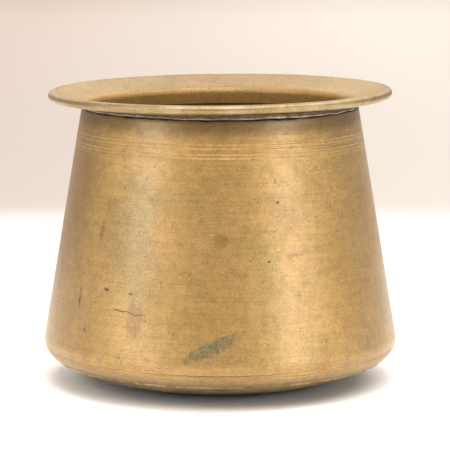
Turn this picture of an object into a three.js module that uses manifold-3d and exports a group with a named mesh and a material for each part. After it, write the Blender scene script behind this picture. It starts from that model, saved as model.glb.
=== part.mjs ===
// A tall conical brass cooking pot with a flared collar. Sheet brass wall, dished base pan,
// a collar with a wired lip, and the solder and braze lines that join them.
// Millimetres, +Z up. The origin is the middle of the flat the pot stands on.

import * as THREE from 'three';
import { mergeVertices } from 'three/addons/utils/BufferGeometryUtils.js';
import Module from 'manifold-3d';

const wasm = await Module();
wasm.setup();

// ---- driving dimensions ----

// overall outline, measured on the outside
const rimRadius = 115;          // outermost point of the lip
const lipTop = 196.8;           // highest point of the lip
const bodyRadius = 118.9;       // widest point, low on the wall
const bodyWidestHeight = 29.5;
const cornerRadius = 15;        // rounding between wall and base
const neckRadius = 92.7;        // outside of the wall at its top edge
const collarRise = 11.5;        // top of the lip above that edge
const seamAngle = 28.5;         // degrees round the corner, from straight down, to the base seam
const restRadius = 48;          // flat worn on the middle of the base

// sheet and joints
const wallThickness = 1.8;
const panThickness = 1.8;
const collarThickness = 1.5;
const clearance = 0.3;          // between any two pieces that meet
const panLapAngle = 36;         // degrees of the corner that the pan's edge lies against
const brazeWidth = 3;           // groove left for braze between pan and wall edge
const brazeCrown = 0.6;         // braze standing proud of the outline
const spigotDepth = 7;          // collar inside the mouth of the wall
const solderTopAngle = 98;      // degrees round the bend, from level, where the solder stops

// collar
const bendRadius = 3;           // underside of the turn from spigot to flare
const flareSlope = 18;          // degrees above level where the flare leaves the bend
const beadRadius = 3;           // outside of the lip's curl
const curlStart = 112;          // degrees round the curl where the flare runs into it
const curlEnd = 180;            // and where its free edge stops, under the flare
const wireGap = 2;              // between the two ends of the wire

// turned lines, measured down from the top edge of the wall
const upperLines = [17.1, 23.2];
const lineWidth = 2.4;
const lineDepth = 0.5;
const cornerLineDepth = 0.25;
const cornerLineAngles = [71, 62];  // degrees round the corner, from straight down
const cornerLineWidth = 5;          // degrees of the corner

const roundSegments = 48;
const bendStep = 13;            // degrees between points on a bend
const domeStep = 5;             // on the dome of the base
const curlStep = 40;            // and round the curl of the lip

// ---- points on the outline ----

const radians = Math.PI / 180;

const at = (centre, radius, degrees) => new THREE.Vector2(
  centre.x + radius * Math.cos(degrees * radians),
  centre.y + radius * Math.sin(degrees * radians)
);

function arc(centre, radius, from, to, step = bendStep) {
  const steps = Math.max(2, Math.ceil(Math.abs(to - from) / step));
  const points = [];
  for (let i = 0; i <= steps; i++) points.push(at(centre, radius, from + (to - from) * i / steps));
  return points;
}

const offset = (point, degrees, distance) => at(point, distance, degrees);

// The corner is an arc, and the wall is a straight line from it to the neck.
const cornerCentre = new THREE.Vector2(bodyRadius - cornerRadius, bodyWidestHeight);
const neck = new THREE.Vector2(neckRadius, lipTop - collarRise);
const neckFromCorner = neck.clone().sub(cornerCentre);
const wallNormal = neckFromCorner.angle() / radians
  - Math.acos(cornerRadius / neckFromCorner.length()) / radians;
const wallDirection = wallNormal + 90;
const seamDirection = seamAngle - 90;
const seam = at(cornerCentre, cornerRadius, seamDirection);

// The base rises from the flat to the seam on an arc that starts level.
const domeRise = seam.y;
const domeRun = seam.x - restRadius;
const domeRadius = (domeRun ** 2 + domeRise ** 2) / (2 * domeRise);
const domeCentre = new THREE.Vector2(restRadius, domeRadius);
const domeEnd = Math.asin(domeRun / domeRadius) / radians - 90;
const grooveStart = domeEnd - brazeWidth / domeRadius / radians;

// ---- solids ----

const brass = (name, colour, roughness) => new THREE.MeshStandardMaterial({
  name, color: colour, roughness, metalness: 1
});

function mesh(name, geometry, material) {
  const piece = new THREE.Mesh(geometry, material);
  piece.name = name;
  return piece;
}

// Turns a closed outline, listed anticlockwise in radius and height, round the pot's axis.
function turned(outline) {
  const onAxis = outline[0].x === 0;
  const points = outline.map((p) => new THREE.Vector2(p.x, p.y));
  if (!onAxis) points.push(points[0].clone());
  const geometry = new THREE.LatheGeometry(points, roundSegments);
  return geometry.rotateX(Math.PI / 2);
}

function toSolid(geometry) {
  const bare = geometry.clone();
  bare.deleteAttribute('normal');
  bare.deleteAttribute('uv');
  const merged = mergeVertices(bare, 1e-4);
  return new wasm.Manifold(new wasm.Mesh({
    numProp: 3,
    vertProperties: new Float32Array(merged.attributes.position.array),
    triVerts: new Uint32Array(merged.index.array)
  }));
}

function subtract(geometry, tool) {
  const cut = toSolid(geometry).subtract(toSolid(tool)).getMesh();
  const result = new THREE.BufferGeometry();
  result.setAttribute('position', new THREE.BufferAttribute(cut.vertProperties, 3));
  result.setIndex(new THREE.BufferAttribute(cut.triVerts, 1));
  result.computeVertexNormals();
  return result;
}

// ---- wall ----

// A turned line is a shallow V cut square to the surface.
function wallLines() {
  return upperLines.toReversed().flatMap((drop) => {
    const middle = offset(neck, wallDirection + 180, drop);
    return [
      offset(middle, wallDirection + 180, lineWidth / 2),
      offset(middle, wallNormal + 180, lineDepth),
      offset(middle, wallDirection, lineWidth / 2)
    ];
  });
}

function cornerOutline() {
  const points = [];
  let from = seamDirection;
  for (const angle of cornerLineAngles.toReversed()) {
    const middle = angle - 90;
    const start = middle - cornerLineWidth / 2;
    const end = middle + cornerLineWidth / 2;
    points.push(...arc(cornerCentre, cornerRadius, from, start));
    points.push(at(cornerCentre, cornerRadius - cornerLineDepth, middle));
    from = end;
  }
  points.push(...arc(cornerCentre, cornerRadius, from, wallNormal));
  return points;
}

function wallGeometry() {
  const inside = cornerRadius - wallThickness;
  const outline = [
    ...cornerOutline(),
    ...wallLines(),
    neck,
    offset(neck, wallNormal + 180, wallThickness),
    ...arc(cornerCentre, inside, wallNormal, seamDirection)
  ];
  return turned(outline);
}

// ---- base pan ----

function panGeometry() {
  const lap = cornerRadius - wallThickness - clearance;
  const lapEnd = seamDirection + panLapAngle;
  const inside = domeRadius - panThickness;
  const outline = [
    new THREE.Vector2(0, 0),
    ...arc(domeCentre, domeRadius, -90, grooveStart, domeStep),
    ...arc(cornerCentre, lap, seamDirection, lapEnd),
    ...arc(cornerCentre, lap - panThickness, lapEnd, seamDirection),
    ...arc(domeCentre, inside, grooveStart, -90, domeStep),
    new THREE.Vector2(0, panThickness)
  ];
  return turned(outline);
}

// ---- braze in the groove at the base seam ----

function brazeGeometry() {
  const towardsPan = seamDirection - 90;
  const cornerGap = 1.5 * clearance;   // the section's sharp corners stand further off
  const wallEdge = offset(seam, towardsPan, clearance);
  const wallEdgeInside = offset(wallEdge, seamDirection + 180, wallThickness - cornerGap);
  const panEdge = offset(at(domeCentre, domeRadius, grooveStart), towardsPan + 180, 2 * clearance);
  const crown = offset(panEdge.clone().lerp(wallEdge, 0.5), seamDirection, brazeCrown);
  return turned([panEdge, crown, wallEdge, wallEdgeInside]);
}

// ---- collar ----

const beadCentre = new THREE.Vector2(rimRadius - beadRadius, lipTop - beadRadius);
const hollowRadius = beadRadius - collarThickness;
const spigotTop = offset(neck, wallNormal + 180, wallThickness + clearance);
const bendCentre = offset(spigotTop, wallNormal, bendRadius);
const bendStart = wallNormal + 180;
const bendEnd = 90 + flareSlope;

// The flare leaves the bend at its own slope and eases up to the height where the curl starts.
function flare(from, to) {
  const reach = (to.x - from.x) / 2;
  const knee = offset(from, flareSlope, reach / Math.cos(flareSlope * radians));
  return new THREE.QuadraticBezierCurve(from, knee, to).getPoints(5);
}

// The sheet goes over the wire, down and round it, and back in under the flare.
function collarGeometry() {
  const spigotEnd = offset(spigotTop, wallDirection + 180, spigotDepth);
  const curlStop = curlEnd - 360;
  const topBend = bendRadius + collarThickness;
  const underFlare = flare(at(bendCentre, bendRadius, bendEnd), at(beadCentre, hollowRadius, curlStart));
  const flareTop = flare(at(bendCentre, topBend, bendEnd), at(beadCentre, beadRadius, curlStart));
  const outline = [
    offset(spigotEnd, wallNormal + 180, collarThickness),
    spigotEnd,
    ...arc(bendCentre, bendRadius, bendStart, bendEnd),
    ...underFlare.slice(1, -1),
    ...arc(beadCentre, hollowRadius, curlStart, curlStop, curlStep),
    ...arc(beadCentre, beadRadius, curlStop, curlStart, curlStep),
    ...flareTop.slice(1, -1).reverse(),
    ...arc(bendCentre, topBend, bendEnd, bendStart)
  ];
  return turned(outline);
}

// ---- wire inside the curl of the lip ----

function wireGeometry() {
  const wireRadius = hollowRadius - clearance;
  const outline = arc(beadCentre, wireRadius, 0, 360, curlStep).slice(0, -1);
  const gap = new THREE.BoxGeometry(4 * beadRadius, wireGap, 4 * beadRadius);
  gap.translate(-beadCentre.x, 0, beadCentre.y);
  return subtract(turned(outline), gap);
}

// ---- solder under the flare, on the top edge of the wall ----

function solderGeometry() {
  const inner = offset(offset(neck, wallNormal + 180, wallThickness), wallDirection, clearance);
  const outer = offset(neck, wallDirection, clearance);
  const underFlare = bendRadius - clearance;
  const aboveWall = bendStart - Math.asin(clearance / underFlare) / radians;
  const outline = [
    inner,
    outer,
    ...arc(bendCentre, underFlare, solderTopAngle, aboveWall)
  ];
  return turned(outline);
}

// ---- the pot ----

const pot = new THREE.Group();
pot.add(
  mesh('body_wall', wallGeometry(), brass('worn brass', 0xb08b47, 0.42)),
  mesh('base_pan', panGeometry(), brass('dull brass', 0x7d6843, 0.6)),
  mesh('base_braze', brazeGeometry(), brass('braze', 0xc9a968, 0.5)),
  mesh('rim_collar', collarGeometry(), brass('handled brass', 0xb8924c, 0.38)),
  mesh('rim_wire', wireGeometry(), brass('wire', 0x8f7a4c, 0.6)),
  mesh('neck_solder', solderGeometry(), brass('soft solder', 0x8a8474, 0.6))
);

export default pot;
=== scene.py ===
"""An old brass cooking pot: conical turned wall, flared collar with a wired lip, dished base."""
import math

import bpy
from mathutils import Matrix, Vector


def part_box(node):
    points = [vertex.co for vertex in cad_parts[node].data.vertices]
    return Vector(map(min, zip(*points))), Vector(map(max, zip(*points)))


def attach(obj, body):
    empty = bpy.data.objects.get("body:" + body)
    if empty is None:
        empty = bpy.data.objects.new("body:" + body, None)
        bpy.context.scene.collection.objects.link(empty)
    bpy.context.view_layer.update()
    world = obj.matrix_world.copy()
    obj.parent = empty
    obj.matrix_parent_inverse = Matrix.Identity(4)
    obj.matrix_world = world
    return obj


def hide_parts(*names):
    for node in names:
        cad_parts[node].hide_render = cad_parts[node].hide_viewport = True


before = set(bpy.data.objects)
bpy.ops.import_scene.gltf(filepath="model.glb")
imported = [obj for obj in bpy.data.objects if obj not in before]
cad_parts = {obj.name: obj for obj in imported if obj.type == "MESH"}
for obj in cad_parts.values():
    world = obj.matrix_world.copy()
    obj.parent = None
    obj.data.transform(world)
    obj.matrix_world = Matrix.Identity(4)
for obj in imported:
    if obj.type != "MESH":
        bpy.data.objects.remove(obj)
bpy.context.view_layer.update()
bpy.ops.object.select_all(action="DESELECT")

MM = 0.001

# ---- sizes, in millimetres ----


def extent(part):
    """Largest radius, lowest point and highest point of a turned part."""
    low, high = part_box(part)
    return high.x / MM, low.z / MM, high.z / MM


BODY_RADIUS, _, WALL_TOP = extent("body_wall")
RIM_RADIUS, SPIGOT_FOOT, LIP_TOP = extent("rim_collar")
_, FLOOR, _ = extent("base_pan")

NECK_RADIUS = 92.7
CORNER_RADIUS = 15.0
CORNER_HEIGHT = 29.5
SEAM_ANGLE = -61.5        # degrees from level, where the wall's turned-in edge stops
REST_RADIUS = 48.0
SHEET = 1.8               # wall and pan
COLLAR_SHEET = 1.5
CLEARANCE = 0.3
BEAD_RADIUS = 3.0
BEND_RADIUS = 3.0
FLARE_SLOPE = 18.0        # degrees
CURL_START = 112.0        # degrees round the lip, where the flare runs into its curl
CURL_END = -180.0         # where the curl's free edge stops, under the flare
LAP_ANGLE = 36.0          # degrees of the corner that the pan's edge lies behind
BRAZE_WIDTH = 3.0
COLLAR_TILT = 0.55        # degrees that the collar was soldered on out of level

UPPER_LINES = (15.9, 18.3, 22.0, 24.4)    # down the wall from the neck: two pairs
UPPER_LINE = (0.1, 0.55, 0.05)            # depth, half width, and height of its raised lips
FAINT_LINE_DROP = 34.0
FAINT_LINE = (0.04, 0.7, 0.02)
CORNER_LINES = (-28.0, -19.0)             # degrees round the corner, from level
CORNER_LINE_REACH = 3.4                   # degrees of the corner on each side of a line
CORNER_LINE = ((-2.4, 0.1), (-1.2, -0.1), (0, -0.25), (1.2, -0.1), (2.4, 0.1))    # degrees, proud

ROUND = 288               # points round every turned piece
SHARPEST_SMOOTH = 35.0    # degrees between two faces that still shade as one surface
SAME_PLACE = 0.02         # two points of an outline that are nearer than this are one

# ---- outlines: lists of (radius, height), closed or with both ends on the axis ----


def polar(centre, radius, degrees):
    """The point at a radius and an angle from level round a centre."""
    angle = math.radians(degrees)
    return centre[0] + radius * math.cos(angle), centre[1] + radius * math.sin(angle)


def arc(centre, radius, start, end, step=4.0):
    """Points along an arc, about a step of degrees apart."""
    steps = max(1, round(abs(end - start) / step))
    return [polar(centre, radius, start + (end - start) * i / steps) for i in range(steps + 1)]


def straight(start, end, step=3.0):
    """Points along a straight line, about a step of millimetres apart."""
    steps = max(1, round(math.dist(start, end) / step))
    return [
        (start[0] + (end[0] - start[0]) * i / steps, start[1] + (end[1] - start[1]) * i / steps)
        for i in range(steps + 1)
    ]


def closed(*runs):
    """The runs joined end to end, without repeated points, and back to the first point."""
    points = []
    for run in runs:
        for point in run:
            if not points or math.dist(points[-1], point) > SAME_PLACE:
                points.append(point)
    if math.dist(points[0], points[-1]) > SAME_PLACE:
        points.append(points[0])
    return points


corner = (BODY_RADIUS - CORNER_RADIUS, CORNER_HEIGHT)
neck = (NECK_RADIUS, WALL_TOP)
to_neck = Vector(neck) - Vector(corner)
WALL_NORMAL = math.degrees(math.atan2(to_neck.y, to_neck.x)
                           - math.acos(CORNER_RADIUS / to_neck.length))
seam = polar(corner, CORNER_RADIUS, SEAM_ANGLE)
dome_run, dome_rise = seam[0] - REST_RADIUS, seam[1]
DOME_RADIUS = (dome_run**2 + dome_rise**2) / (2 * dome_rise)
dome = (REST_RADIUS, DOME_RADIUS)
DOME_END = math.degrees(math.asin(dome_run / DOME_RADIUS)) - 90
GROOVE_START = DOME_END - math.degrees(BRAZE_WIDTH / DOME_RADIUS)
CONE_SLOPE = math.tan(math.radians(WALL_NORMAL))    # the wall's lean, radius lost per height
CONE_REACH = NECK_RADIUS + WALL_TOP * CONE_SLOPE    # radius that the wall's cone has at height 0


def on_wall(below_neck, proud=0.0):
    """A point on the outside of the wall, a distance down its slope from the neck."""
    point = polar(neck, below_neck, WALL_NORMAL - 90)
    return polar(point, proud, WALL_NORMAL)


def turned_line(middle, depth, width, lip):
    """One scribed line: a rounded groove between two fine raised lips.

    Its shape is given as places along the wall in half widths, and heights in millimetres.
    """
    shape = ((-1.5, 0), (-1.0, lip), (-0.62, lip * 0.4), (-0.3, -depth * 0.75), (0, -depth),
             (0.3, -depth * 0.75), (0.62, lip * 0.4), (1.0, lip), (1.5, 0))
    return [on_wall(middle - along * width, proud) for along, proud in shape]


def wall_outline():
    """The wall, from the seam round the corner, up past its lines, and down again inside."""
    outside = []
    start = SEAM_ANGLE
    for angle in CORNER_LINES:
        outside += arc(corner, CORNER_RADIUS, start, angle - CORNER_LINE_REACH)
        for turn_by, proud in CORNER_LINE:
            outside.append(polar(corner, CORNER_RADIUS + proud, angle + turn_by))
        start = angle + CORNER_LINE_REACH
    outside += arc(corner, CORNER_RADIUS, start, WALL_NORMAL)
    lines = [(FAINT_LINE_DROP, FAINT_LINE), *((drop, UPPER_LINE) for drop in UPPER_LINES[::-1])]
    for drop, cut in lines:
        scribed = turned_line(drop, *cut)
        outside += straight(outside[-1], scribed[0])[1:] + scribed[1:]
    lip_centre = polar(neck, SHEET / 2, WALL_NORMAL + 180)
    lip_centre = polar(lip_centre, SHEET / 2, WALL_NORMAL - 90)
    top = arc(lip_centre, SHEET / 2, WALL_NORMAL, WALL_NORMAL + 180, 20)
    inside_corner = arc(corner, CORNER_RADIUS - SHEET, WALL_NORMAL, SEAM_ANGLE)
    return closed(outside, straight(outside[-1], top[0])[1:], top,
                  straight(top[-1], inside_corner[0]), inside_corner)


def pan_outline():
    """The base: its flat, its dome out to the braze, and its edge behind the wall's."""
    lap = CORNER_RADIUS - SHEET - CLEARANCE
    lap_end = SEAM_ANGLE + LAP_ANGLE
    inner_dome = DOME_RADIUS - SHEET
    hub = 6.0
    return [(0.0, FLOOR), *straight((hub, FLOOR), (REST_RADIUS, FLOOR), hub)[:-1],
            *arc(dome, DOME_RADIUS, -90, GROOVE_START, 1.5),
            *arc(corner, lap, SEAM_ANGLE, lap_end),
            *arc(corner, lap - SHEET, lap_end, SEAM_ANGLE),
            *arc(dome, inner_dome, GROOVE_START, -90, 1.5),
            *straight((REST_RADIUS, SHEET), (hub, SHEET), hub)[1:], (0.0, SHEET)]


def braze_outline():
    """A bead of braze filling the groove, its crown standing a little proud."""
    along = SEAM_ANGLE - 90
    wall_side = polar(seam, 0.1, along)
    pan_side = polar(polar(dome, DOME_RADIUS, GROOVE_START), 0.3, along + 180)
    middle = ((wall_side[0] + pan_side[0]) / 2, (wall_side[1] + pan_side[1]) / 2)
    root = polar(wall_side, SHEET - 0.3, SEAM_ANGLE + 180)
    crown = [polar(polar(middle, shift, along + 180), proud, SEAM_ANGLE)
             for shift, proud in ((-0.9, 0.28), (-0.4, 0.5), (0.2, 0.55), (0.8, 0.35))]
    return closed([pan_side, *crown, wall_side], straight(wall_side, root, 0.6),
                  straight(root, pan_side, 0.6))


bead = (RIM_RADIUS - BEAD_RADIUS, LIP_TOP - BEAD_RADIUS)
spigot_top = polar(neck, SHEET + CLEARANCE, WALL_NORMAL + 180)
bend = polar(spigot_top, BEND_RADIUS, WALL_NORMAL)


def flare(start, end, count=12):
    """The dished flare, from the bend up to the lip: leaves at its slope and eases to the lip."""
    half = (end[0] - start[0]) / 2
    knee = (start[0] + half, start[1] + half * math.tan(math.radians(FLARE_SLOPE)))
    points = []
    for i in range(count + 1):
        t = i / count
        weights = ((1 - t) ** 2, 2 * t * (1 - t), t * t)
        points.append(tuple(sum(w * p[k] for w, p in zip(weights, (start, knee, end)))
                            for k in (0, 1)))
    return points


def collar_outline():
    """The spigot, the bend, the flare, and the curl over, down and back under the flare."""
    spigot_end = polar(spigot_top, WALL_TOP - SPIGOT_FOOT - 0.6, WALL_NORMAL - 90)
    spigot_inside = polar(spigot_end, COLLAR_SHEET, WALL_NORMAL + 180)
    hollow = BEAD_RADIUS - COLLAR_SHEET
    start, end = WALL_NORMAL + 180, 90 + FLARE_SLOPE
    under_bend = arc(bend, BEND_RADIUS, start, end, 8)
    top_bend = arc(bend, BEND_RADIUS + COLLAR_SHEET, end, start, 8)
    top = flare(top_bend[0], polar(bead, BEAD_RADIUS, CURL_START))
    top[-2] = (top[-2][0], top[-2][1] - 0.2)    # the sheet sinks a little before the curl
    return closed(straight(spigot_end, under_bend[0]), under_bend,
                  flare(under_bend[-1], polar(bead, hollow, CURL_START)),
                  arc(bead, hollow, CURL_START, CURL_END, 20),
                  arc(bead, BEAD_RADIUS, CURL_END, CURL_START, 10), top[::-1], top_bend,
                  straight(top_bend[-1], spigot_inside), [spigot_inside, spigot_end])


def wire_outline():
    """The round wire that fills the curl."""
    return closed(arc(bead, BEAD_RADIUS - COLLAR_SHEET - CLEARANCE, 0, 360, 24))


def solder_outline():
    """Solder run in under the flare and wiped to a hollow face, its foot over the wall's edge."""
    under = BEND_RADIUS + 0.05
    foot = on_wall(-0.3, 0.2)
    face = [foot, on_wall(-0.6, 0.5), on_wall(-1.1, 0.5), on_wall(-1.7, 0.55),
            polar(bend, under, 99)]
    back = arc(bend, under, 99, WALL_NORMAL + 178, 10)
    return closed(face, back, [on_wall(-0.3, -1.6), foot])


# ---- modelling ----


def turn(name, outline):
    """A closed outline, drawn point by point, then spun round the pot's axis."""
    bpy.ops.mesh.primitive_plane_add(size=MM)
    piece = bpy.context.object
    piece.name = piece.data.name = name
    bpy.ops.object.mode_set(mode="EDIT")
    bpy.ops.mesh.merge(type="CENTER")
    bpy.ops.transform.translate(value=(outline[0][0] * MM, 0, outline[0][1] * MM))
    for here, there in zip(outline, outline[1:]):
        step = ((there[0] - here[0]) * MM, 0, (there[1] - here[1]) * MM)
        bpy.ops.mesh.extrude_region_move(TRANSFORM_OT_translate={"value": step})
    bpy.ops.mesh.select_all(action="SELECT")
    bpy.ops.mesh.spin(steps=ROUND, angle=math.tau, center=(0, 0, 0), axis=(0, 0, 1),
                      use_auto_merge=True)
    bpy.ops.mesh.select_all(action="SELECT")
    bpy.ops.mesh.remove_doubles(threshold=0.015 * MM)
    bpy.ops.mesh.normals_make_consistent(inside=False)
    bpy.ops.object.mode_set(mode="OBJECT")
    return piece


def unevenness(piece, height, size, direction="NORMAL", group="", seed=0.0):
    """Hand-made unevenness, height in mm from trough to crest and size in mm across."""
    texture = bpy.data.textures.new(piece.name + "_uneven", "CLOUDS")
    texture.noise_scale = size * MM
    texture.noise_depth = 1
    shift = bpy.data.objects.new("shift", None)
    bpy.context.collection.objects.link(shift)
    shift.location = (seed, seed, seed)
    bpy.context.view_layer.update()
    wave = piece.modifiers.new("uneven", "DISPLACE")
    wave.texture = texture
    wave.texture_coords = "OBJECT"
    wave.texture_coords_object = shift
    wave.strength = height * MM
    wave.direction = direction
    wave.vertex_group = group
    bpy.context.view_layer.objects.active = piece
    bpy.ops.object.modifier_apply(modifier=wave.name)
    bpy.data.objects.remove(shift)


def group_places(piece, name, weigh):
    """A vertex group weighted by a function of the place in millimetres."""
    group = piece.vertex_groups.new(name=name)
    for point in piece.data.vertices:
        weight = weigh(point.co / MM)
        if weight > 0:
            group.add([point.index], min(weight, 1.0), "REPLACE")


def tilt(piece):
    """The collar went on a little out of level, its +X side high."""
    bpy.ops.object.select_all(action="DESELECT")
    piece.select_set(True)
    bpy.context.view_layer.objects.active = piece
    bpy.ops.object.mode_set(mode="EDIT")
    bpy.ops.mesh.select_all(action="SELECT")
    bpy.ops.transform.rotate(value=math.radians(COLLAR_TILT), orient_axis="Y",
                             center_override=(0, 0, WALL_TOP * MM))
    bpy.ops.object.mode_set(mode="OBJECT")


def finish(piece, part, material):
    """Smooth shading, a material, the body it rides on and the part it stands for."""
    bpy.ops.object.select_all(action="DESELECT")
    piece.select_set(True)
    bpy.context.view_layer.objects.active = piece
    bpy.ops.object.shade_smooth_by_angle(angle=math.radians(SHARPEST_SMOOTH))
    piece.data.materials.append(material)
    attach(piece, "root")
    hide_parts(part)
    piece.select_set(False)


# ---- materials ----


def paint(code):
    """An sRGB hex colour as linear red, green, blue and alpha."""
    channels = [int(code[i:i + 2], 16) / 255 for i in (1, 3, 5)]
    linear = [c / 12.92 if c <= 0.04045 else ((c + 0.055) / 1.055) ** 2.4 for c in channels]
    return (*linear, 1.0)


def node(tree, kind, inputs=(), out=0, **settings):
    """Adds a node and returns one of its outputs.

    inputs gives sockets, in order or by name or number, a value or another node's output.
    """
    made = tree.nodes.new("ShaderNode" + kind)
    for key, value in settings.items():
        setattr(made, key, value)
    pairs = inputs.items() if isinstance(inputs, dict) else enumerate(inputs)
    for key, value in pairs:
        if isinstance(value, bpy.types.NodeSocket):
            tree.links.new(value, made.inputs[key])
        else:
            made.inputs[key].default_value = value
    return made.outputs[out] if made.outputs else None


def begin(name):
    """An empty material, its tree, and the object coordinates in millimetres."""
    material = bpy.data.materials.new(name)
    material.use_nodes = True
    tree = material.node_tree
    tree.nodes.clear()
    metres = node(tree, "TexCoord", out="Object")
    place = node(tree, "VectorMath", {0: metres, 3: 1 / MM}, operation="SCALE")
    return material, tree, place


def close(tree, **sockets):
    """The shader, from its sockets' names with underscores for spaces, and the output."""
    named = {key.replace("_", " "): value for key, value in sockets.items()}
    shader = node(tree, "BsdfPrincipled", named)
    node(tree, "OutputMaterial", {"Surface": shader})


def unrolled(tree, place):
    """The surface unrolled flat: millimetres round the pot from its front, and height."""
    x = node(tree, "SeparateXYZ", (place,), out=0)
    y = node(tree, "SeparateXYZ", (place,), out=1)
    z = node(tree, "SeparateXYZ", (place,), out=2)
    back = node(tree, "Math", (y, -1.0), operation="MULTIPLY")
    angle = node(tree, "Math", (x, back), operation="ARCTAN2")
    along = node(tree, "Math", (angle, BODY_RADIUS), operation="MULTIPLY")
    return node(tree, "CombineXYZ", (along, z, 0.0))


def from_axis(tree, place):
    """Distance from the pot's axis, in millimetres."""
    level = node(tree, "VectorMath", (place, (1.0, 1.0, 0.0)), operation="MULTIPLY")
    return node(tree, "VectorMath", (level,), out=1, operation="LENGTH")


def brushing(tree, place, spacing):
    """Turning marks: fine streaks round the pot, drawn coarser than real so that they show."""
    drawn = node(tree, "VectorMath", (place, (0.03, 0.03, 1.0)), operation="MULTIPLY")
    coarse = node(tree, "TexNoise", {"Vector": drawn, "Scale": 1 / spacing, "Detail": 3.0,
                                     "Roughness": 0.7})
    return node(tree, "MapRange", (coarse, 0.3, 0.7, 0.0, 1.0))


def tarnish(tree, place, size, shift, spread=0.14):
    """Clouds of tarnish, broken up at their edges by the grain of the metal."""
    moved = node(tree, "VectorMath", (place, (shift, shift, shift)), operation="ADD")
    cloud = node(tree, "TexNoise", {"Vector": moved, "Scale": 1 / size, "Detail": 6.0,
                                    "Roughness": 0.62, "Distortion": 0.3})
    return node(tree, "MapRange", (cloud, 0.52 - spread, 0.52 + spread, 0.0, 1.0),
                interpolation_type="SMOOTHSTEP")


def pits(tree, place, spacing, size, share):
    """1 in small round holes, one in each of the given share of the cells of a loose grid."""
    cells = {"Vector": place, "Scale": 1 / spacing, "Randomness": 1.0}
    distance = node(tree, "TexVoronoi", cells, out="Distance")
    chance = node(tree, "SeparateColor", (node(tree, "TexVoronoi", cells, out="Color"),))
    chosen = node(tree, "Math", (chance, share), operation="LESS_THAN")
    radius = size / spacing / 2
    hole = node(tree, "MapRange", (distance, radius * 1.4, radius * 0.5, 0.0, 1.0),
                interpolation_type="SMOOTHSTEP")
    return node(tree, "Math", (hole, chosen), operation="MULTIPLY")


def hairlines(tree, flat, size, width, share):
    """1 on broken, crooked hairlines, as old brass gets where its surface has crazed."""
    wander = node(tree, "TexNoise", {"Vector": flat, "Scale": 3.0 / size, "Detail": 3.0}, out=1)
    bent = node(tree, "VectorMath", {0: wander, 1: (size,) * 3, 2: flat}, operation="MULTIPLY_ADD")
    edge = node(tree, "TexVoronoi", {"Vector": bent, "Scale": 1 / size}, out="Distance",
                feature="DISTANCE_TO_EDGE")
    line = node(tree, "MapRange", (edge, width / size, width / size * 0.3, 0.0, 1.0))
    where = node(tree, "TexNoise", {"Vector": flat, "Scale": 1.4 / size, "Detail": 2.0})
    here = node(tree, "MapRange", (where, 0.68 - share, 0.74 - share, 0.0, 1.0))
    return node(tree, "Math", (line, here), operation="MULTIPLY")


def patch(tree, flat, centre, size, turn=0.0, ragged=0.5, grain=5.0):
    """1 inside an oval patch of the unrolled surface, fading raggedly to 0."""
    local = node(tree, "Mapping", {0: flat, 1: (*centre, 0), 2: (0, 0, math.radians(turn)),
                                   3: (*size, 1)}, vector_type="TEXTURE")
    distance = node(tree, "VectorMath", (local,), out=1, operation="LENGTH")
    edge = node(tree, "TexNoise", {"Vector": flat, "Scale": 1 / grain, "Detail": 5.0,
                                   "Roughness": 0.65})
    torn = node(tree, "Math", {0: edge, 1: ragged * 2, 2: distance}, operation="MULTIPLY_ADD")
    return node(tree, "MapRange", (torn, ragged + 1.15, ragged + 0.5, 0.0, 1.0),
                interpolation_type="SMOOTHSTEP")


def stroke(tree, flat, start, end, width, sway=0.8):
    """1 on a thin swaying line between two places of the unrolled surface."""
    middle = [(a + b) / 2 for a, b in zip(start, end)]
    turn = math.atan2(end[1] - start[1], end[0] - start[0])
    local = node(tree, "Mapping", {0: flat, 1: (*middle, 0), 2: (0, 0, turn),
                                   3: (math.dist(start, end) / 2, width / 2, 1)},
                 vector_type="TEXTURE")
    wander = node(tree, "TexNoise", {"Vector": flat, "Scale": 1 / 9, "Detail": 2.0})
    shift = node(tree, "MapRange", (wander, 0.3, 0.7, -2 * sway / width, 2 * sway / width))
    along = node(tree, "Math", (node(tree, "SeparateXYZ", (local,)),), operation="ABSOLUTE")
    across = node(tree, "Math", (node(tree, "SeparateXYZ", (local,), out=1), shift))
    across = node(tree, "Math", (across,), operation="ABSOLUTE")
    line = node(tree, "MapRange", (across, 1.2, 0.5, 0.0, 1.0))
    run = node(tree, "MapRange", (along, 1.0, 0.7, 0.0, 1.0))
    return node(tree, "Math", (line, run), operation="MULTIPLY")


def stained(tree, colour, mask, amount, code):
    """The colour with a stain over it, by the given amount where the mask is 1."""
    share = node(tree, "Math", (mask, amount), operation="MULTIPLY")
    return node(tree, "Mix", {0: share, 6: colour, 7: paint(code)}, out=2, data_type="RGBA")


def shaded(tree, colour, mask, low, high):
    """The colour made darker or lighter: times low where the mask is 0, and high where it is 1."""
    level = node(tree, "MapRange", (mask, 0.0, 1.0, low, high))
    grey = node(tree, "CombineColor", (level, level, level))
    return node(tree, "Mix", {0: 1.0, 6: colour, 7: grey}, out=2, data_type="RGBA",
                blend_type="MULTIPLY")


def relief(tree, depths):
    """A bump from masks and how deep each is cut, in millimetres."""
    height = 0.0
    for mask, depth in depths:
        height = node(tree, "Math", {0: mask, 1: -depth, 2: height}, operation="MULTIPLY_ADD")
    return node(tree, "Bump", {"Height": height, "Distance": MM, "Strength": 0.7})


GOLD = "#b8945a"
OLIVE = "#957740"
BROWN = "#4d351d"

# old knocks and stains on the wall: mm round from the front, mm up, half width, half height
KNOCKS = ((-85, 75, 2.2, 1.4), (-112, 65, 0.9, 2.0), (-102, 47, 1.2, 1.4), (44, 133, 1.3, 1.0),
          (35, 96, 1.2, 0.9), (-64, 74, 1.4, 1.0))
STAINS = ((-96, 111, 2.5, 8.0), (1, 110, 7.0, 5.0), (-112, 68, 2.5, 9.0), (-60, 58, 8.0, 12.0))


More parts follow.
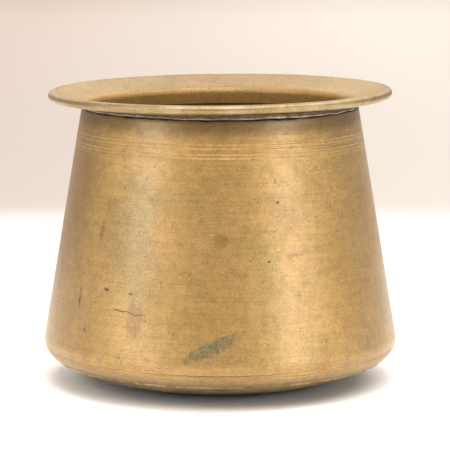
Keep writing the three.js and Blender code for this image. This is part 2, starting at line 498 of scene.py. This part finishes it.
def turned_brass():
    """Sheet brass turned on a lathe and long handled.

    Its gold is satin and drawn out sideways by the turning marks, with faint clouds of olive
    tarnish, a browner side, a grey-green bloom, a smoky brown stain with painted shade under the
    collar, a painted black shadow in the gap under the solder's foot, pits, hairlines, knocks, a
    short crack and one streak of verdigris. Inside it is duller.
    """
    material, tree, place = begin("aged turned brass")
    flat = unrolled(tree, place)
    radius = from_axis(tree, place)
    height = node(tree, "SeparateXYZ", (place,), out=2)
    grain = tarnish(tree, place, 1.1, 9, 0.2)
    streaks = brushing(tree, place, 1.5)
    clouds = tarnish(tree, place, 34, 3, 0.2)
    freckles = tarnish(tree, place, 6, 17, 0.16)

    colour = stained(tree, paint(GOLD), clouds, 0.5, OLIVE)
    warmth = tarnish(tree, place, 55, 21, 0.12)
    colour = stained(tree, colour, warmth, 0.3, "#b4843f")
    green = tarnish(tree, place, 28, 31, 0.1)
    colour = stained(tree, colour, green, 0.2, "#9a8a42")
    colour = stained(tree, colour, freckles, 0.3, "#7b6233")
    side = patch(tree, flat, (-160, 140), (52, 80), ragged=0.6, grain=16)
    colour = stained(tree, colour, side, 0.4, "#805d2d")
    bloom = patch(tree, flat, (-70, 108), (26, 44), ragged=1.0, grain=8)
    colour = stained(tree, colour, bloom, 0.3, "#6f6d4c")
    verdigris = patch(tree, flat, (-5, 42.5), (19, 5.0), turn=24, ragged=1.2, grain=4)
    crust = tarnish(tree, place, 2.4, 12, 0.1)
    colour = stained(tree, colour, verdigris, 0.55, "#666b50")
    verdigris = node(tree, "Math", (verdigris, crust), operation="MULTIPLY")
    colour = stained(tree, colour, verdigris, 0.6, "#4c5745")
    colour = shaded(tree, colour, streaks, 0.88, 1.09)
    colour = shaded(tree, colour, grain, 0.79, 1.15)

    fine = pits(tree, place, 2.8, 0.75, 0.4)
    holes = pits(tree, place, 11, 1.1, 0.35)
    deep = pits(tree, place, 37, 1.9, 0.5)
    crazed = hairlines(tree, flat, 11, 0.4, 0.12)
    crack = stroke(tree, flat, (-79, 63.5), (-51, 61), 0.7)
    split = stroke(tree, flat, (-62, 76), (-58, 44), 0.6, 1.4)
    scratch = stroke(tree, flat, (-19, 134), (-10, 128), 0.6)
    marks = node(tree, "Math", (crack, deep), operation="MAXIMUM")
    for around, up, wide, high in KNOCKS:
        knock = patch(tree, flat, (around, up), (wide, high), ragged=1.3, grain=1.5)
        marks = node(tree, "Math", (marks, knock), operation="MAXIMUM")
    for around, up, wide, high in STAINS:
        stain = patch(tree, flat, (around, up), (wide, high), ragged=0.8, grain=4)
        colour = stained(tree, colour, stain, 0.35, "#5c3a1c")
    lines = node(tree, "Math", (crazed, split), operation="MAXIMUM")
    lines = node(tree, "Math", (lines, scratch), operation="MAXIMUM")
    colour = stained(tree, colour, fine, 0.3, "#5a4421")
    colour = stained(tree, colour, holes, 0.85, BROWN)
    colour = stained(tree, colour, lines, 0.45, BROWN)
    colour = stained(tree, colour, marks, 0.85, "#3f2014")

    ragged = node(tree, "TexNoise", {"Vector": flat, "Scale": 1 / 10, "Detail": 6.0})
    # a smoky brown band down from the collar, partly painted shade where the collar shades the wall
    torn = node(tree, "Math", {0: ragged, 1: 7.0, 2: height}, operation="MULTIPLY_ADD")
    smoke_and_collar_shade = node(tree, "MapRange", (torn, 174.0, 184.0, 0.0, 1.0), interpolation_type="SMOOTHSTEP")
    colour = stained(tree, colour, smoke_and_collar_shade, 0.64, "#48331a")
    # painted shadow: the wall's top edge made near black, raggedly, in the gap under the solder's
    # foot
    torn = node(tree, "Math", {0: ragged, 1: 3.4, 2: height}, operation="MULTIPLY_ADD")
    gap_shadow_line = node(tree, "MapRange", (torn, 186.0, 186.4, 0.0, 1.0))
    colour = stained(tree, colour, gap_shadow_line, 0.9, "#17110c")

    cone = node(tree, "Math", {0: height, 1: CONE_SLOPE, 2: radius}, operation="MULTIPLY_ADD")
    inside = node(tree, "MapRange", (cone, CONE_REACH - 0.6, CONE_REACH - 1.3, 0.0, 1.0))
    straight_wall = node(tree, "MapRange", (height, 26.0, 34.0, 0.0, 1.0))
    inside = node(tree, "Math", (inside, straight_wall), operation="MULTIPLY")
    colour = stained(tree, colour, inside, 0.6, "#8f7040")

    dull = node(tree, "Math", {0: clouds, 1: 0.4, 2: inside}, operation="MULTIPLY_ADD")
    dull = node(tree, "Math", {0: verdigris, 1: 0.6, 2: dull}, operation="MULTIPLY_ADD")
    roughness = node(tree, "MapRange", (dull, 0.0, 1.4, 0.42, 0.72))
    bump = relief(tree, ((streaks, 0.025), (grain, 0.05), (holes, 0.1), (lines, 0.08),
                         (marks, 0.2)))
    metal = node(tree, "MapRange", (inside, 0.0, 1.0, 1.0, 0.6))
    close(tree, Base_Color=colour, Metallic=metal, Roughness=roughness, Normal=bump,
          Anisotropic=0.75, Coat_Weight=0.9, Coat_Roughness=0.36)
    return material


def handled_brass():
    """The collar's brass: pale and speckled on the lip, satin in the flare, brown in the throat."""
    material, tree, place = begin("handled brass")
    radius = from_axis(tree, place)
    clouds = tarnish(tree, place, 18, 8, 0.2)
    grain = tarnish(tree, place, 1.8, 5, 0.2)
    streaks = brushing(tree, place, 1.2)
    throat = node(tree, "MapRange", (radius, 93.5, 90.0, 0.0, 1.0))
    lip = node(tree, "MapRange", (radius, 109.0, 111.0, 0.0, 1.0))
    colour = stained(tree, paint("#ab8b50"), clouds, 0.5, OLIVE)
    colour = stained(tree, colour, lip, 0.8, "#957c55")
    colour = stained(tree, colour, throat, 0.6, "#b08a4e")
    colour = shaded(tree, colour, streaks, 0.93, 1.05)
    colour = shaded(tree, colour, grain, 0.82, 1.12)
    worn = tarnish(tree, place, 30, 15, 0.1)
    worn = node(tree, "Math", (worn, lip), operation="MULTIPLY")
    colour = stained(tree, colour, worn, 0.5, "#b3a07c")
    specks = pits(tree, place, 2.6, 1.0, 0.5)
    holes = pits(tree, place, 12, 1.8, 0.35)
    colour = stained(tree, colour, specks, 0.65, BROWN)
    colour = stained(tree, colour, holes, 0.8, BROWN)
    dull = node(tree, "Math", {0: clouds, 1: 0.25, 2: throat}, operation="MULTIPLY_ADD")
    roughness = node(tree, "MapRange", (dull, 0.0, 1.25, 0.46, 0.8))
    metal = node(tree, "MapRange", (throat, 0.0, 1.0, 1.0, 0.7))
    bump = relief(tree, ((streaks, 0.02), (grain, 0.04), (specks, 0.08), (holes, 0.12)))
    close(tree, Base_Color=colour, Metallic=metal, Roughness=roughness, Normal=bump,
          Anisotropic=0.5, Coat_Weight=0.6, Coat_Roughness=0.35)
    return material


def dull_brass():
    """The base's brass, never polished: olive grey, dull and beaten, and darkened underneath:
    painted shade with fire-blackening.
    """
    material, tree, place = begin("dull beaten brass")
    clouds = tarnish(tree, place, 22, 5)
    freckles = tarnish(tree, place, 4, 11)
    colour = stained(tree, paint("#a08c64"), clouds, 1.0, "#7c6e52")
    colour = stained(tree, colour, freckles, 0.4, "#544938")
    # darker towards the middle on faces that look down: painted shade under the pot, with
    # fire-blackening
    radius = from_axis(tree, place)
    fire_black_and_shade = node(tree, "MapRange", (radius, 105.0, 82.0, 0.0, 1.0), interpolation_type="SMOOTHSTEP")
    facing = node(tree, "TexCoord", out="Normal")
    upward = node(tree, "SeparateXYZ", (facing,), out=2)
    under = node(tree, "MapRange", (upward, -0.3, -0.7, 0.0, 1.0))
    fire_black_and_shade = node(tree, "Math", (fire_black_and_shade, under), operation="MULTIPLY")
    colour = stained(tree, colour, fire_black_and_shade, 0.9, "#1f1811")
    beaten = node(tree, "TexNoise", {"Vector": place, "Scale": 1 / 14, "Detail": 1.0})
    bump = relief(tree, ((beaten, 0.8), (freckles, 0.05)))
    close(tree, Base_Color=colour, Metallic=0.85, Roughness=0.58, Normal=bump)
    return material


def braze():
    """Brass braze, cast rough: brown, and worn bright on scattered crests."""
    material, tree, place = begin("worn braze")
    crests = tarnish(tree, place, 5, 2)
    worn = tarnish(tree, place, 26, 7)
    colour = stained(tree, paint("#c8ad78"), crests, 0.7, "#6a5530")
    colour = stained(tree, colour, worn, 0.6, "#5c492b")
    roughness = node(tree, "MapRange", (crests, 0.0, 1.0, 0.42, 0.65))
    bump = relief(tree, ((crests, 0.3),))
    close(tree, Base_Color=colour, Metallic=1.0, Roughness=roughness, Normal=bump)
    return material


def soft_solder():
    """Tin and lead solder, wiped while hot: a thin grey line, with dark brown painted shade further
    in, under the flare.
    """
    material, tree, place = begin("wiped soft solder")
    runs = tarnish(tree, place, 5, 6)
    height = node(tree, "SeparateXYZ", (place,), out=2)
    # painted shade under the flare: the solder made dark brown above its thin grey foot
    ragged = node(tree, "TexNoise", {"Vector": place, "Scale": 1 / 7, "Detail": 4.0})
    torn = node(tree, "Math", {0: ragged, 1: 2.4, 2: height}, operation="MULTIPLY_ADD")
    shade_under_flare = node(tree, "MapRange", (torn, WALL_TOP + 2.1, WALL_TOP + 2.6, 0.0, 1.0))
    colour = stained(tree, paint("#a09888"), runs, 0.8, "#6a6456")
    colour = stained(tree, colour, shade_under_flare, 0.9, "#4c3c22")
    roughness = node(tree, "MapRange", (runs, 0.0, 1.0, 0.36, 0.6))
    bump = relief(tree, ((runs, 0.2),))
    close(tree, Base_Color=colour, Metallic=0.9, Roughness=roughness, Normal=bump)
    return material


def drawn_wire():
    """Drawn brass wire, brown from years inside the lip."""
    material, tree, place = begin("drawn brass wire")
    clouds = tarnish(tree, place, 6, 4)
    colour = stained(tree, paint("#9b7c48"), clouds, 1.0, "#5d4629")
    roughness = node(tree, "MapRange", (clouds, 0.0, 1.0, 0.45, 0.65))
    bump = relief(tree, ((clouds, 0.05),))
    close(tree, Base_Color=colour, Metallic=1.0, Roughness=roughness, Normal=bump)
    return material


# ---- the pieces ----


def make_wall():
    """The conical wall, not quite round."""
    wall = turn("wall", wall_outline())
    unevenness(wall, 0.5, 60, seed=0.31)
    finish(wall, "body_wall", turned_brass())


def make_collar():
    """The flared collar with its curled edge."""
    collar = turn("collar", collar_outline())
    unevenness(collar, 0.4, 45, seed=0.77)
    tilt(collar)
    finish(collar, "rim_collar", handled_brass())


def make_wire():
    """The wire in the collar's curl, tilted with it."""
    wire = turn("lip_wire", wire_outline())
    tilt(wire)
    finish(wire, "rim_wire", drawn_wire())


def make_solder():
    """The solder under the flare, its foot ragged where it ran down."""
    solder = turn("solder", solder_outline())
    group_places(solder, "skirt", lambda p: (WALL_TOP + 1.6 - p.z) / 1.6)
    unevenness(solder, 1.6, 9, direction="Z", group="skirt", seed=0.12)
    finish(solder, "neck_solder", soft_solder())


def make_pan():
    """The base, its dome beaten uneven and its middle left flat to stand on."""
    pan = turn("base", pan_outline())
    group_places(pan, "dome", lambda p: (math.hypot(p.x, p.y) - REST_RADIUS) / 30)
    unevenness(pan, 0.6, 28, group="dome", seed=0.45)
    finish(pan, "base_pan", dull_brass())


def make_braze():
    """The lumpy line of braze in the groove between base and wall."""
    bead_line = turn("braze_line", braze_outline())
    unevenness(bead_line, 0.7, 4, seed=0.63)
    finish(bead_line, "base_braze", braze())


# ---- floor, light and camera ----


FLOOR_SIDE = 16.0            # metres


def make_floor():
    """A pale sweep, white under the pot and a darker cream further back, with painted light and
    shade.
    """
    bpy.ops.mesh.primitive_plane_add(size=FLOOR_SIDE, location=(0, 0, FLOOR * MM))
    floor = bpy.context.object
    floor.name = "floor"
    bpy.ops.object.transform_apply(location=True)
    material, tree, place = begin("pale studio sweep")
    x = node(tree, "SeparateXYZ", (place,))
    y = node(tree, "SeparateXYZ", (place,), out=1)
    # painted light and shade: past the pot the floor turns a darker cream, darker on the left,
    # lighter towards the right and further back
    across = node(tree, "MapRange", (x, -400.0, 300.0, 0.0, 1.0))
    depth = node(tree, "MapRange", (y, 800.0, 3600.0, 0.0, 1.0))
    back = node(tree, "MapRange", (y, 560.0, 860.0, 0.0, 1.0), interpolation_type="SMOOTHSTEP")
    cream = stained(tree, paint("#c7b9b1"), across, 1.0, "#d9d3cc")
    cream = shaded(tree, cream, depth, 0.86, 1.14)
    colour = node(tree, "Mix", {0: back, 6: paint("#fcfbfb"), 7: cream}, out=2, data_type="RGBA")
    close(tree, Base_Color=colour, Roughness=0.8)
    floor.data.materials.append(material)


LIGHT_DISTANCE = 1.6         # metres from the pot to each soft box that faces it


def add_light(name, azimuth, elevation, width, height, power):
    """A soft box that faces the pot. Azimuth 0 is in front of it and 90 on its +X side."""
    a, e = math.radians(azimuth), math.radians(elevation)
    aim = Vector((0, 0, (WALL_TOP / 2) * MM))
    away = Vector((math.sin(a) * math.cos(e), -math.cos(a) * math.cos(e), math.sin(e)))
    bpy.ops.object.light_add(type="AREA", location=aim + away * LIGHT_DISTANCE)
    lamp = bpy.context.object
    lamp.name = name
    lamp.rotation_euler = away.to_track_quat("Z", "Y").to_euler()
    lamp.data.shape = "RECTANGLE"
    lamp.data.size, lamp.data.size_y = width, height
    lamp.data.energy = power
    lamp.visible_camera = False


def make_light():
    """Soft boxes left and right of the camera, at the right side, overhead and high in front.

    A large one above the back lights the floor behind the pot.
    """
    add_light("left_box", -55, 20, 0.6, 1.2, 11.6)
    add_light("right_box", 50, 10, 0.7, 0.7, 7.8)
    add_light("right_high_box", 85, 50, 0.7, 0.8, 7.2)
    add_light("top_box", 0, 80, 1.2, 1.2, 18)
    add_light("front_high_box", 5, 50, 1.4, 0.6, 11)
    bpy.ops.object.light_add(type="AREA", location=(0, 3.0, 1.8))
    ceiling = bpy.context.object
    ceiling.name = "back_ceiling"
    ceiling.data.shape = "RECTANGLE"
    ceiling.data.size, ceiling.data.size_y = 5.0, 4.2
    ceiling.data.energy = 76
    ceiling.visible_camera = False
    world = bpy.data.worlds.new("studio")
    bpy.context.scene.world = world
    world.use_nodes = True
    sky = world.node_tree.nodes["Background"]
    sky.inputs["Color"].default_value = paint("#fff0df")
    sky.inputs["Strength"].default_value = 0.54


CAMERA_PITCH = 8.54          # degrees down
CAMERA_DISTANCE = 1700.0     # mm to the point it looks at
LOOK_AT = (3.2, 0.0, 104.3)  # mm
CAMERA_LENS = 201.4          # on a 36 mm wide sensor


def make_camera():
    """A long lens a little above the rim, looking slightly down."""
    pitch = math.radians(CAMERA_PITCH)
    back = Vector((0, -math.cos(pitch), math.sin(pitch)))
    bpy.ops.object.camera_add(location=(Vector(LOOK_AT) + back * CAMERA_DISTANCE) * MM)
    camera = bpy.context.object
    camera.rotation_euler = back.to_track_quat("Z", "Y").to_euler()
    camera.data.lens = CAMERA_LENS
    camera.data.sensor_width = 36
    camera.data.clip_start, camera.data.clip_end = 0.05, 40
    bpy.context.scene.camera = camera
    bpy.context.scene.view_settings.view_transform = "Standard"


make_camera()
make_wall()
make_collar()
make_wire()
make_solder()
make_pan()
make_braze()
make_floor()
make_light()
